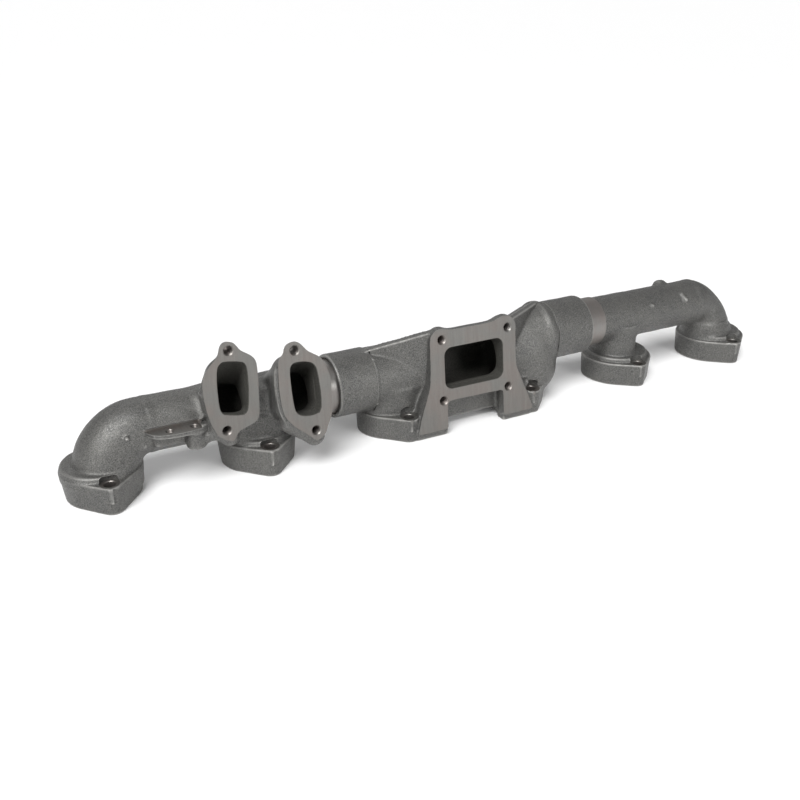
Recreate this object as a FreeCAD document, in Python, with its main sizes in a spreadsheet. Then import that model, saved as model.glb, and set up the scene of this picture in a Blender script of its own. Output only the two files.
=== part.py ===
import FreeCAD, Part
import os, math
import Sketcher

# Three-piece slip-jointed exhaust manifold of an inline six.
# X runs along the port row (front of the engine at -X), -Y is the turbo side,
# Z = 0 is the plane of the six machined port faces.
os.makedirs("parts", exist_ok=True)
doc = FreeCAD.newDocument("exhaust_manifold")
V = FreeCAD.Vector
sheet = doc.addObject("Spreadsheet::Sheet", "Params")

PARAMS = [
    # row of ports
    ("port_pitch", 160.0), ("flange_r", 41.5), ("flange_end_r", 12.0), ("bolt_offset", 40.0),
    ("flange_h", 28.0), ("bolt_hole_r", 5.75), ("port_r", 24.0), ("flange_round", 2.0),
    # ducts
    ("pipe_r", 28.0), ("wall", 5.5), ("front_z", 63.0), ("rear_z", 77.0),
    ("neck_r", 31.0), ("mid_neck_r", 37.0), ("elbow_side", 40.0), ("elbow_in_r", 7.0),
    ("foot1_r", 33.5), ("foot1_shift", 6.5), ("foot6_r", 30.5), ("foot6_shift", 9.5), ("spot_r", 10.5),
    # slip joints
    ("sleeve_r", 34.5), ("sleeve_bore_r", 30.0), ("spigot_r", 29.3),
    ("front_rim", 157.0), ("front_step", 112.5), ("front_bore_end", 116.0),
    ("front_tip", 122.5), ("front_band_end", 186.0),
    ("rear_rim", 172.0), ("rear_step", 121.5), ("rear_bore_end", 126.5),
    ("rear_tip", 133.0), ("rear_band_end", 193.0),
    ("groove_w", 9.6), ("groove_r", 26.3), ("groove_back", 11.0),
    ("ring_w", 3.0), ("ring_or", 29.94), ("ring_ir", 26.9), ("ring_gap", 1.2), ("ring_side", 0.15),
    # centre body
    ("body_r", 34.0), ("body_mid_r", 37.0), ("body_wall", 6.5), ("shoulder_r", 27.0),
    # turbo flange
    ("turbo_y", 46.0), ("turbo_z", 75.0), ("turbo_tilt", 6.5), ("turbo_t", 14.0),
    ("turbo_w", 106.0), ("turbo_h", 79.0), ("turbo_cx", 3.0), ("turbo_corner", 6.0),
    ("turbo_open_w", 75.0), ("turbo_open_h", 46.5), ("turbo_open_r", 9.0), ("turbo_open_cx", 2.0),
    ("turbo_hole_x", 42.0), ("turbo_hole_v", 34.2), ("turbo_hole_r", 4.25), ("turbo_ear_r", 13.0),
    ("leg_out", 75.0), ("leg_in", 36.0), ("leg_low", 70.0), ("leg_top", 10.0), ("leg_side", 56.0),
    # bypass outlets of the front section
    ("egr_y", 48.0), ("egr1_x", 278.0), ("egr1_z", 104.0), ("egr2_x", 205.5), ("egr2_z", 92.0),
    ("egr2_y", 57.0), ("egr2_tilt", 6.5), ("egr_w", 57.0), ("egr_h", 74.0), ("egr_r", 16.0), ("egr_t", 11.0),
    ("egr_open_w", 31.0), ("egr_open_h", 56.0), ("egr_open_r", 8.0), ("egr_wall", 6.5),
    ("egr_ear_r", 11.0), ("egr_hole_r", 4.25), ("egr_a_top_u", 0.2), ("egr_a_top_v", 38.8), ("egr_a_low_u", 7.1),
    ("egr_a_low_v", 43.0), ("egr_b_top_u", 7.8), ("egr_b_top_v", 41.0), ("egr_b_low_u", 7.7), ("egr_b_low_v", 45.0),
    ("hole_depth", 20.0),
    # bracket pad on the front pipe
    ("pad_z", 68.0), ("pad_t", 5.0), ("pad_x1", 349.0), ("pad_x2", 302.0), ("pad_y", 46.0),
    ("pad_hole_r", 3.4), ("pad_hole_y", 36.5), ("pad_hole1_x", 338.0), ("pad_hole2_x", 314.0),
    ("pad_boss_r", 9.0), ("pad_boss_z", 43.0),
    # lifting lug on the rear section
    ("lug_x", 311.0), ("lug_w", 22.0), ("lug_h", 109.5), ("lug_t", 10.0), ("lug_y", 12.0),
]
P = {}
for i, (k, v) in enumerate(PARAMS):
    sheet.set("A%d" % (i + 1), k)
    sheet.set("B%d" % (i + 1), repr(v))
    sheet.setAlias("B%d" % (i + 1), k)
doc.recompute()
for k, v in PARAMS:
    P[k] = float(sheet.get(k))


def q(e):
    """Put the sheet's name before every alias in an expression."""
    out, w = "", ""
    for c in e + " ":
        if c.isalnum() or c == "_":
            w += c
        else:
            out += ("Params." + w) if w in P else w
            w = ""
            out += c
    return out.strip()


def val(e):
    """Numeric value of the same expression, for the starting placement."""
    toks, w = [], ""
    tree = e.replace(" ", "")
    pos = [0]

    def atom():
        c = tree[pos[0]]
        if c == "(":
            pos[0] += 1
            r = add()
            pos[0] += 1
            return r
        if c == "-":
            pos[0] += 1
            return -atom()
        s = pos[0]
        while pos[0] < len(tree) and (tree[pos[0]].isalnum() or tree[pos[0]] in "_."):
            pos[0] += 1
        word = tree[s:pos[0]]
        return P[word] if word in P else float(word)

    def mul():
        r = atom()
        while pos[0] < len(tree) and tree[pos[0]] in "*/":
            o = tree[pos[0]]
            pos[0] += 1
            b = atom()
            r = r * b if o == "*" else r / b
        return r

    def add():
        r = mul()
        while pos[0] < len(tree) and tree[pos[0]] in "+-":
            o = tree[pos[0]]
            pos[0] += 1
            b = mul()
            r = r + b if o == "+" else r - b
        return r

    return add()


def place(o, x, y, z, axis=V(0, 0, 1), ang=0.0):
    o.Placement = FreeCAD.Placement(V(val(x), val(y), val(z)), FreeCAD.Rotation(axis, ang))
    for n, e in (("x", x), ("y", y), ("z", z)):
        o.setExpression("Placement.Base." + n, q(e))


def cyl(name, r, h, x, y, z, axis=V(0, 0, 1), ang=0.0):
    o = doc.addObject("Part::Cylinder", name)
    o.Radius, o.Height = val(r), val(h)
    place(o, x, y, z, axis, ang)
    o.setExpression("Radius", q(r))
    o.setExpression("Height", q(h))
    return o


def cyl_x(name, r, x0, x1, z):
    """Cylinder along +X from x0 to x1 on the axis y = 0, its seam turned off the lofts' seams."""
    o = cyl(name, r, "(%s)-(%s)" % (x1, x0), x0, "0", z, V(0, 1, 0), 90.0)
    o.Placement = FreeCAD.Placement(o.Placement.Base, o.Placement.Rotation.multiply(
        FreeCAD.Rotation(V(0, 0, 1), 37.0)))
    return o


def box(name, l, w, h, x, y, z, axis=V(0, 0, 1), ang=0.0):
    o = doc.addObject("Part::Box", name)
    o.Length, o.Width, o.Height = val(l), val(w), val(h)
    place(o, x, y, z, axis, ang)
    for n, e in (("Length", l), ("Width", w), ("Height", h)):
        o.setExpression(n, q(e))
    return o


def sphere(name, r, x, y, z):
    o = doc.addObject("Part::Sphere", name)
    o.Radius = val(r)
    place(o, x, y, z)
    o.setExpression("Radius", q(r))
    return o


def fuse(name, objs):
    """Chain of two-body fusions, which keeps every step a valid solid."""
    acc = objs[0]
    for i, b in enumerate(objs[1:]):
        o = doc.addObject("Part::Fuse", name if i == len(objs) - 2 else "%s_%d" % (name, i))
        o.Base, o.Tool, o.Refine = acc, b, False
        acc = o
    return acc


def cut(name, a, b):
    o = doc.addObject("Part::Cut", name)
    o.Base, o.Tool, o.Refine = a, b, False
    return o


def con(sk, kind, *a):
    return sk.addConstraint(Sketcher.Constraint(kind, *a))


def dim(sk, idx, e):
    sk.setExpression("Constraints[%d]" % idx, q(e))


def arc(c, r, a0, a1):
    return Part.ArcOfCircle(Part.Circle(c, V(0, 0, 1), r), a0, a1)


def rhomb(name, x):
    """Two-bolt flange outline: hull of a large circle and two small ones on Y."""
    R, r, e = P["flange_r"], P["flange_end_r"], P["bolt_offset"]
    th = math.asin((R - r) / e)
    sk = doc.addObject("Sketcher::SketchObject", name)
    g = []
    pol = lambda c, rr, a: V(c.x + rr * math.cos(a), c.y + rr * math.sin(a), 0)
    O, T, B = V(0, 0, 0), V(0, e, 0), V(0, -e, 0)
    pi = math.pi
    g.append(arc(O, R, -th, th))
    g.append(Part.LineSegment(pol(O, R, th), pol(T, r, th)))
    g.append(arc(T, r, th, pi - th))
    g.append(Part.LineSegment(pol(T, r, pi - th), pol(O, R, pi - th)))
    g.append(arc(O, R, pi - th, pi + th))
    g.append(Part.LineSegment(pol(O, R, pi + th), pol(B, r, pi + th)))
    g.append(arc(B, r, pi + th, 2 * pi - th))
    g.append(Part.LineSegment(pol(B, r, 2 * pi - th), pol(O, R, 2 * pi - th)))
    sk.addGeometry(g, False)
    for a, b in ((0, 1), (1, 2), (2, 3), (3, 4), (4, 5), (5, 6), (6, 7), (7, 0)):
        con(sk, "Tangent", a, 2, b, 1)
    con(sk, "Coincident", 0, 3, -1, 1)
    con(sk, "Coincident", 4, 3, -1, 1)
    dim(sk, con(sk, "Radius", 0, R), "flange_r")
    dim(sk, con(sk, "Radius", 2, r), "flange_end_r")
    con(sk, "Equal", 2, 6)
    con(sk, "PointOnObject", 2, 3, -2)
    con(sk, "PointOnObject", 6, 3, -2)
    dim(sk, con(sk, "DistanceY", -1, 1, 2, 3, e), "bolt_offset")
    dim(sk, con(sk, "DistanceY", 6, 3, -1, 1, e), "bolt_offset")
    place(sk, x, "0", "0")
    return sk


def rrect(name, w, h, r, cx, cy, cz, ang=90.0, spin=0.0):
    """Rounded rectangle in a plane tipped by ang about X (90 = upright, facing -Y)."""
    W, H, R = val(w) / 2, val(h) / 2, val(r)
    sk = doc.addObject("Sketcher::SketchObject", name)
    pi = math.pi
    g = [Part.LineSegment(V(-W + R, -H, 0), V(W - R, -H, 0)), arc(V(W - R, -H + R, 0), R, -pi / 2, 0),
         Part.LineSegment(V(W, -H + R, 0), V(W, H - R, 0)), arc(V(W - R, H - R, 0), R, 0, pi / 2),
         Part.LineSegment(V(W - R, H, 0), V(-W + R, H, 0)), arc(V(-W + R, H - R, 0), R, pi / 2, pi),
         Part.LineSegment(V(-W, H - R, 0), V(-W, -H + R, 0)), arc(V(-W + R, -H + R, 0), R, pi, 3 * pi / 2)]
    sk.addGeometry(g, False)
    for a in range(8):
        con(sk, "Tangent", a, 2, (a + 1) % 8, 1)
    con(sk, "Horizontal", 0)
    con(sk, "Vertical", 2)
    con(sk, "Horizontal", 4)
    con(sk, "Vertical", 6)
    con(sk, "Equal", 1, 3)
    con(sk, "Equal", 1, 5)
    dim(sk, con(sk, "Radius", 1, R), r)
    dim(sk, con(sk, "DistanceX", -1, 1, 2, 1, W), "(%s)/2" % w)
    dim(sk, con(sk, "DistanceX", 6, 1, -1, 1, W), "(%s)/2" % w)
    dim(sk, con(sk, "DistanceY", -1, 1, 4, 1, H), "(%s)/2" % h)
    dim(sk, con(sk, "DistanceY", 0, 1, -1, 1, H), "(%s)/2" % h)
    place(sk, cx, cy, cz, V(1, 0, 0), ang)
    if spin:
        sk.Placement = FreeCAD.Placement(sk.Placement.Base, sk.Placement.Rotation.multiply(
            FreeCAD.Rotation(V(0, 0, 1), spin)))
    return sk


def poly(name, pts, cx, cy, cz, ang=90.0):
    """Closed polygon; every corner is held by the sheet's sizes."""
    n = len(pts)
    xy = [V(val(a), val(b), 0) for a, b in pts]
    sk = doc.addObject("Sketcher::SketchObject", name)
    sk.addGeometry([Part.LineSegment(xy[i], xy[(i + 1) % n]) for i in range(n)], False)
    for i in range(n):
        con(sk, "Coincident", i, 2, (i + 1) % n, 1)
    for i, (a, b) in enumerate(pts):
        dim(sk, con(sk, "DistanceX", -1, 1, i, 1, xy[i].x), a)
        dim(sk, con(sk, "DistanceY", -1, 1, i, 1, xy[i].y), b)
    place(sk, cx, cy, cz, V(1, 0, 0), ang)
    return sk


def extrude(name, sk, h):
    o = doc.addObject("Part::Extrusion", name)
    o.Base = sk
    o.DirMode = "Normal"
    o.Solid = True
    o.LengthFwd = val(h)
    o.setExpression("LengthFwd", q(h))
    return o


def circle(name, r, x, y, z, ang):
    """Circle whose axis lies in the XZ plane, ang degrees from +Z towards +X."""
    o = doc.addObject("Part::Circle", name)
    o.Radius = val(r)
    place(o, x, y, z, V(0, 1, 0), ang)
    o.setExpression("Radius", q(r))
    return o


def loft(name, secs, ruled=False):
    o = doc.addObject("Part::Loft", name)
    o.Sections = secs
    o.Solid, o.Ruled = True, ruled
    return o


def port_flange(tag, x):
    body = extrude("flange_" + tag, rhomb("flange_sketch_" + tag, x), "flange_h")
    doc.recompute()
    edges = []
    for i, e in enumerate(body.Shape.Edges):
        b = e.BoundBox
        if b.ZMin > P["flange_h"] - 0.01:
            edges.append((i + 1, P["flange_round"], P["flange_round"]))
    f = doc.addObject("Part::Fillet", "flange_rounded_" + tag)
    f.Base = body
    f.Edges = edges
    return f


def bolt_holes(tag, x):
    return [cyl("bolt_hole_%s_%s" % (tag, s), "bolt_hole_r", "flange_h*2+4", x, y, "-flange_h")
            for s, y in (("a", "bolt_offset"), ("b", "-bolt_offset"))]


def elbow(tag, sx, z, fr, sh):
    """Duct elbow from a port up to the pipe; sx = +1 bends towards +X, -1 towards -X."""
    x0 = "-port_pitch*2.5" if sx > 0 else "port_pitch*2.5"
    s = "" if sx > 0 else "-"
    outs, ins = [], []
    n = 5
    for i in range(n):
        a = 90.0 * i / (n - 1)
        t = a / 90.0
        r = "(%s*%.4f+pipe_r*%.4f)" % (fr, 1 - t, t)
        # bend centre sits elbow_in_r outside the flange's inner side
        cx = "(elbow_side+elbow_in_r)"
        d = "(elbow_in_r+%s)" % r
        px = "%s+(%s1)*(%s-%s*%.6f)" % (x0, s, cx, d, math.cos(math.radians(a)))
        pz = "%s-pipe_r-elbow_in_r+%s*%.6f" % (z, d, math.sin(math.radians(a)))
        ang = a if sx > 0 else -a
        outs.append(circle("elbow_out_%s_%d" % (tag, i), r, px, "0", pz, ang))
        ins.append(circle("elbow_in_%s_%d" % (tag, i), r + "-wall", px, "0", pz, ang))
    foot_x = "%s+(%s1)*%s" % (x0, s, sh)
    o = loft("elbow_skin_" + tag, outs)
    c = loft("elbow_bore_" + tag, ins)
    # the foot flares towards the flange
    stub = loft("elbow_stub_" + tag, [circle("stub_lo_" + tag, fr + "+3.5", "%s+(%s1)*%s*0.5" % (x0, s, sh), "0", "10", 0),
                                      circle("stub_hi_" + tag, fr + "-0.1", foot_x, "0", "%s-pipe_r-elbow_in_r+0.6" % z, 0)], True)
    lo = circle("foot_lo_" + tag, "port_r", x0, "0", "-1", 0)
    hi = circle("foot_hi_" + tag, fr + "-wall-0.6", foot_x, "0", "%s-pipe_r-elbow_in_r+2.5" % z, 0)
    b = loft("foot_bore_" + tag, [lo, hi], True)
    return [o, stub], [c, b]


def neck(tag, x, z, r="neck_r"):
    """Upright neck from a port into the pipe."""
    o = cyl("neck_" + tag, r, z, x, "0", "0", V(0, 0, 1), 52.0)
    i = cyl("neck_bore_" + tag, "port_r", z + "+1", x, "0", "-1", V(0, 0, 1), 52.0)
    return [o], [i]


def threaded(name, x, y, z, ang, r, depth):
    """Blind hole whose mouth faces the local +Z of a plane tipped by ang about X."""
    o = doc.addObject("Part::Cylinder", name)
    o.Radius, o.Height = val(r), val(depth) + 2.0
    a = math.radians(ang)
    nrm = V(0, -math.sin(a), math.cos(a))
    base = V(val(x), val(y), val(z)) - nrm * val(depth)
    o.Placement = FreeCAD.Placement(base, FreeCAD.Rotation(V(1, 0, 0), ang))
    o.setExpression("Radius", q(r))
    o.setExpression("Height", q(depth + "+2"))
    o.setExpression("Placement.Base.x", q(x))
    o.setExpression("Placement.Base.y", q("(%s)+(%s)*%.8f" % (y, depth, math.sin(a))))
    o.setExpression("Placement.Base.z", q("(%s)-(%s)*%.8f" % (z, depth, math.cos(a))))
    return o


# ---------------------------------------------------------------- front section
x1, x2, x3 = "-port_pitch*2.5", "-port_pitch*1.5", "-port_pitch*0.5"
x4, x5, x6 = "port_pitch*0.5", "port_pitch*1.5", "port_pitch*2.5"

out, inn = elbow("p1", 1, "front_z", "foot1_r", "foot1_shift")
n_o, n_i = neck("p2", x2, "front_z")
out += n_o
inn += n_i
out += [port_flange("p1", x1), port_flange("p2", x2)]
out.append(cyl_x("front_pipe", "pipe_r", "-port_pitch*2.5+elbow_side+elbow_in_r", "-front_band_end", "front_z"))
out.append(cyl_x("front_spigot", "spigot_r", "-front_band_end", "-front_tip", "front_z"))
inn.append(cyl_x("front_bore", "pipe_r-wall", "-port_pitch*2.5+elbow_side+elbow_in_r-0.01",
                 "-front_tip+1", "front_z"))
groove = cut("front_groove",
             cyl_x("front_groove_o", "spigot_r+3", "-front_tip-groove_back-groove_w", "-front_tip-groove_back", "front_z"),
             cyl_x("front_groove_i", "groove_r", "-front_tip-groove_back-groove_w-1", "-front_tip-groove_back+1", "front_z"))
inn.append(groove)

# bypass outlets: flange plate, lofted duct down into the pipe, opening
holes = []
for tag, x, z, y, tilt, su in (("a", "-egr1_x", "egr1_z", "egr_y", 0.0, ("+", "-")),
                               ("b", "-egr2_x", "egr2_z", "egr2_y", P["egr2_tilt"], ("-", "+"))):
    ang = 90.0 - tilt
    s, c = math.sin(math.radians(ang)), math.cos(math.radians(ang))
    by, bz = "-%s+egr_t*%.6f" % (y, s), "%s-egr_t*%.6f" % (z, c)
    plate = rrect("egr_plate_sk_" + tag, "egr_w", "egr_h", "egr_r", x, by, bz, ang)
    out.append(extrude("egr_plate_" + tag, plate, "egr_t"))
    for k, sg, us in (("top", 1, su[0]), ("low", -1, su[1])):
        sgn = "" if sg > 0 else "-"
        ux = "%s%segr_%s_%s_u" % (x, us, tag, k)
        vy = "%s(egr_%s_%s_v)*%.6f" % (sgn, tag, k, c)
        vz = "%s(egr_%s_%s_v)*%.6f" % (sgn, tag, k, s)
        ear = doc.addObject("Part::Cylinder", "egr_ear_%s_%s" % (tag, k))
        ear.Radius, ear.Height = P["egr_ear_r"], P["egr_t"]
        place(ear, ux, "(%s)+(%s)" % (by, vy), "(%s)+(%s)" % (bz, vz), V(1, 0, 0), ang)
        ear.setExpression("Radius", q("egr_ear_r"))
        ear.setExpression("Height", q("egr_t"))
        out.append(ear)
        # boss behind the ear gives the thread its depth
        boss = doc.addObject("Part::Cylinder", "egr_boss_%s_%s" % (tag, k))
        boss.Radius, boss.Height = P["egr_ear_r"] - 1, P["hole_depth"] + 5
        d = "(hole_depth+5)"
        place(boss, ux, "-(%s)+(%s)+%s*%.6f" % (y, vy, d, s), "(%s)+(%s)-%s*%.6f" % (z, vz, d, c), V(1, 0, 0), ang)
        boss.setExpression("Radius", q("egr_ear_r-1"))
        boss.setExpression("Height", q("hole_depth+4"))
        out.append(boss)
        holes.append(threaded("egr_hole_%s_%s" % (tag, k), ux, "-(%s)+(%s)" % (y, vy), "(%s)+(%s)" % (z, vz),
                              ang, "egr_hole_r", "hole_depth"))
    face_o = rrect("egr_skin_f_" + tag, "egr_open_w+egr_wall*2", "egr_open_h+egr_wall*2", "egr_open_r+egr_wall", x,
                   "-%s+4*%.6f" % (y, s), "%s-4*%.6f" % (z, c), ang)
    root_o = rrect("egr_skin_r_" + tag, "egr_open_w+egr_wall*2", "pipe_r*2-4", "egr_open_r+egr_wall", x, "2", "front_z", 90.0)
    out.append(loft("egr_skin_" + tag, [face_o, root_o], True))
    face_i = rrect("egr_bore_f_" + tag, "egr_open_w", "egr_open_h", "egr_open_r", x,
                   "-%s-3*%.6f" % (y, s), "%s+3*%.6f" % (z, c), ang)
    root_i = rrect("egr_bore_r_" + tag, "egr_open_w", "(pipe_r-wall)*2-4", "egr_open_r", x, "2", "front_z", 90.0)
    holes.append(loft("egr_bore_" + tag, [face_i, root_i], True))

# bracket pad and its boss
pad = poly("pad_sketch", [("-pad_x1", "pad_z-pad_t"), ("-pad_x2", "pad_z-pad_t"), ("-pad_x2", "pad_z"), ("-pad_x1", "pad_z")],
           "0", "-10", "0", 90.0)
out.append(extrude("pad", pad, "pad_y-10"))
out.append(cyl("pad_boss", "pad_boss_r", "pad_z-pad_boss_z", "-pad_hole2_x", "-pad_hole_y", "pad_boss_z"))
out.append(cyl("pad_boss2", "pad_boss_r-1", "14", "-pad_hole1_x", "-pad_hole_y", "pad_z-14"))
for i in ("1", "2"):
    holes.append(cyl("pad_hole_" + i, "pad_hole_r", "12", "-pad_hole%s_x" % i, "-pad_hole_y", "pad_z-11"))
holes += bolt_holes("p1", x1) + bolt_holes("p2", x2)
front = cut("front_section", fuse("front_solid", out), fuse("front_hollow", inn + holes))

# ---------------------------------------------------------------- rear section
out, inn = elbow("p6", -1, "rear_z", "foot6_r", "foot6_shift")
n_o, n_i = neck("p5", x5, "rear_z")
out += n_o
inn += n_i
out += [port_flange("p5", x5), port_flange("p6", x6)]
out.append(cyl_x("rear_pipe", "pipe_r", "rear_band_end", "port_pitch*2.5-elbow_side-elbow_in_r", "rear_z"))
out.append(cyl_x("rear_spigot", "spigot_r", "rear_tip", "rear_band_end", "rear_z"))
inn.append(cyl_x("rear_bore", "pipe_r-wall-0.08", "rear_tip-1", "port_pitch*2.5-elbow_side-elbow_in_r+0.8", "rear_z"))
inn.append(cut("rear_groove",
               cyl_x("rear_groove_o", "spigot_r+3", "rear_tip+groove_back", "rear_tip+groove_back+groove_w", "rear_z"),
               cyl_x("rear_groove_i", "groove_r", "rear_tip+groove_back-1", "rear_tip+groove_back+groove_w+1", "rear_z")))
out.append(box("lug", "lug_w", "lug_t", "lug_h-rear_z", "lug_x-lug_w/2", "lug_y-lug_t/2", "rear_z"))
inn += bolt_holes("p5", x5) + bolt_holes("p6", x6)
rear = cut("rear_section", fuse("rear_solid", out), fuse("rear_hollow", inn))

# ---------------------------------------------------------------- centre section
out = [cyl_x("body_front", "body_r", "-front_step-4", "70", "front_z"),
       cyl_x("body_rear", "body_mid_r", "52", "rear_step-6", "rear_z"),
       cyl_x("body_end", "body_r", "rear_step-7", "rear_step+4", "rear_z")]
inn = [cyl_x("body_front_bore", "body_r-body_wall", "-front_bore_end-1", "66", "front_z"),
       cyl_x("body_rear_bore", "body_r-body_wall+0.5", "58", "rear_bore_end+1", "rear_z")]
out.append(cyl_x("front_sleeve", "sleeve_r", "-front_rim", "-front_step", "front_z"))
out.append(cyl_x("rear_sleeve", "sleeve_r", "rear_step", "rear_rim", "rear_z"))
for tag, x, z in (("p3", x3, "front_z"), ("p4", x4, "rear_z")):
    a, b = neck(tag, x, z, "mid_neck_r")
    out += a
    inn += b
    out.append(port_flange(tag, x))
inn.append(cyl_x("front_sleeve_bore", "sleeve_bore_r", "-front_rim-1", "-front_bore_end", "front_z"))
inn.append(cyl_x("rear_sleeve_bore", "sleeve_bore_r", "rear_bore_end", "rear_rim+1", "rear_z"))

tang = 90.0 - P["turbo_tilt"]
ts, tc = math.sin(math.radians(tang)), math.cos(math.radians(tang))
by, bz = "-turbo_y+turbo_t*%.6f" % ts, "turbo_z-turbo_t*%.6f" % tc
out.append(extrude("turbo_plate", rrect("turbo_plate_sk", "turbo_w", "turbo_h", "turbo_corner", "-turbo_cx", by, bz, tang), "turbo_t"))
for k, sx in (("l", "-"), ("r", "")):
    ear = doc.addObject("Part::Cylinder", "turbo_ear_" + k)
    ear.Radius, ear.Height = P["turbo_ear_r"], P["turbo_t"] + 8
    place(ear, sx + "turbo_hole_x", "%s+turbo_hole_v*%.6f+8*%.6f" % (by, tc, ts), "%s+turbo_hole_v*%.6f-8*%.6f" % (bz, ts, tc),
          V(1, 0, 0), tang)
    ear.setExpression("Radius", q("turbo_ear_r"))
    ear.setExpression("Height", q("turbo_t+8"))
    out.append(ear)
    pts = [("leg_side", "-15"), ("leg_out", "-leg_low+5"), ("leg_out", "-leg_low"), ("leg_in", "-leg_low"), ("leg_in", "-30")]
    if k == "l":
        pts = [("-(%s)" % a, b) for a, b in pts]
    out.append(extrude("turbo_leg_" + k, poly("turbo_leg_sk_" + k, pts, "0", by, bz, tang), "turbo_t"))
    # gusset that ties the leg to the port flange behind it
    gp = [("%sleg_in" % sx, "0"), ("%sleg_out" % sx, "0"), ("%sleg_side" % sx, "turbo_z-15"), ("%sleg_in" % sx, "turbo_z-15")]
    out.append(extrude("gusset_" + k, poly("gusset_sk_" + k, gp, "0", "-12", "0", 90.0), "turbo_y-12-6"))
# webs that run from the sleeves up to the flange ears, each with an upright face turned off the row
web_l = extrude("web_l_block", poly("web_sk_l", [("-118", "97.4"), ("-57", "116"), ("-57", "front_z"), ("-118", "front_z")],
                                    "0", "0", "0", 90.0), "42")
web_r = extrude("web_r_block", poly("web_sk_r", [("50", "115"), ("108", "113"), ("108", "rear_z"), ("50", "rear_z")],
                                    "0", "0", "0", 90.0), "42")
out.append(cut("web_l", web_l, box("web_cut_l", "120", "60", "90", "-161.2", "-54.2", "40", V(0, 0, 1), -24.65)))
out.append(cut("web_r", web_r, box("web_cut_r", "120", "60", "90", "60-17.888+26.833", "-36-8.944-53.666", "40", V(0, 0, 1), 26.565)))
tf_o = rrect("turbo_skin_f", "turbo_open_w+14", "turbo_open_h+14", "turbo_open_r+7", "-turbo_open_cx", by, bz, tang)
tr_o = rrect("turbo_skin_r", "turbo_open_w+20", "body_mid_r*2-9", "turbo_open_r+7", "-turbo_open_cx", "2", "front_z+2", 90.0)
out.append(loft("turbo_skin", [tf_o, tr_o], True))
tf_i = rrect("turbo_bore_f", "turbo_open_w", "turbo_open_h", "turbo_open_r", "-turbo_open_cx",
             "-turbo_y-4*%.6f" % ts, "turbo_z+4*%.6f" % tc, tang)
tr_i = rrect("turbo_bore_r", "turbo_open_w+4", "(body_mid_r-body_wall)*2-6", "turbo_open_r", "-turbo_open_cx", "2", "front_z+2", 90.0)
inn.append(loft("turbo_bore", [tf_i, tr_i], True))
for k, sx, sv in (("tl", "-", ""), ("tr", "", ""), ("bl", "-", "-"), ("br", "", "-")):
    inn.append(threaded("turbo_hole_" + k, sx + "turbo_hole_x", "-turbo_y+(%sturbo_hole_v)*%.6f" % (sv, tc),
                        "turbo_z+(%sturbo_hole_v)*%.6f" % (sv, ts), tang, "turbo_hole_r", "hole_depth"))
inn += bolt_holes("p3", x3) + bolt_holes("p4", x4)
# the wide necks are cut back over each bolt so that a socket fits
for tag, x in (("p3", x3), ("p4", x4)):
    for k, sy in (("a", ""), ("b", "-")):
        inn.append(cyl("spot_%s_%s" % (tag, k), "spot_r", "30", x, "%s(bolt_offset+1)" % sy, "flange_h-0.6"))
# everything stays above the port plane
inn.append(box("trim", "port_pitch*3", "200", "30", "-port_pitch*1.5", "-100", "-30"))
centre = cut("centre_section", fuse("centre_solid", out), fuse("centre_hollow", inn))

# ---------------------------------------------------------------- seal rings
rings = []
for side, z in (("front", "front_z"), ("rear", "rear_z")):
    for i, nm in enumerate(("inner", "middle", "outer")):
        off = "(ring_side+(ring_w+ring_side)*%d)" % i
        if side == "front":
            a = "-front_tip-groove_back-%s-ring_w" % off
        else:
            a = "rear_tip+groove_back+%s" % off
        t = "%s_%s" % (side, nm)
        o = cyl("ring_o_" + t, "ring_or", "ring_w", a, "0", z, V(0, 1, 0), 90.0)
        c = cyl("ring_i_" + t, "ring_ir", "ring_w+2", a + "-1", "0", z, V(0, 1, 0), 90.0)
        g = doc.addObject("Part::Box", "ring_slot_" + t)
        g.Length, g.Width, g.Height = P["ring_w"] + 2, P["ring_gap"], 10
        ang = 120.0 * i + 30.0
        ca, sa = math.cos(math.radians(ang)), math.sin(math.radians(ang))
        # slot box centred on the cut line of the split ring
        place(g, a + "-1", "-ring_gap/2*%.6f-(ring_ir-3)*%.6f" % (ca, sa),
              "%s-ring_gap/2*%.6f+(ring_ir-3)*%.6f" % (z, sa, ca), V(1, 0, 0), ang)
        g.setExpression("Length", q("ring_w+2"))
        g.setExpression("Width", q("ring_gap"))
        rings.append((side + "_seal_ring_" + nm, cut("ring_" + t, o, fuse("ring_hollow_" + t, [c, g]))))

doc.recompute()
bad = []
for o in doc.Objects:
    st = [s for s in o.State if s in ("Invalid", "Error")]
    if st:
        bad.append("%s %s %s" % (o.Name, st, o.getStatusString()))
    if hasattr(o, "Shape") and not o.Shape.isNull() and not o.Shape.isValid():
        bad.append("%s shape not valid" % o.Name)
if bad:
    raise RuntimeError("; ".join(bad[:12]))

for name, obj in [("front_section", front), ("centre_section", centre), ("rear_section", rear)] + rings:
    obj.Label = name
    s = obj.Shape
    if len(s.Solids) != 1:
        raise RuntimeError("%s has %d solids" % (name, len(s.Solids)))
    b = s.BoundBox
    print("%-24s vol %.0f  x %.1f %.1f  y %.1f %.1f  z %.1f %.1f" % (name, s.Volume, b.XMin, b.XMax, b.YMin, b.YMax, b.ZMin, b.ZMax))
    s.exportStep("parts/%s.step" % name)
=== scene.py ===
import bpy, bmesh, math
import numpy as np
import openvdb as vdb
from mathutils import Vector, Matrix, Euler


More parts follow.
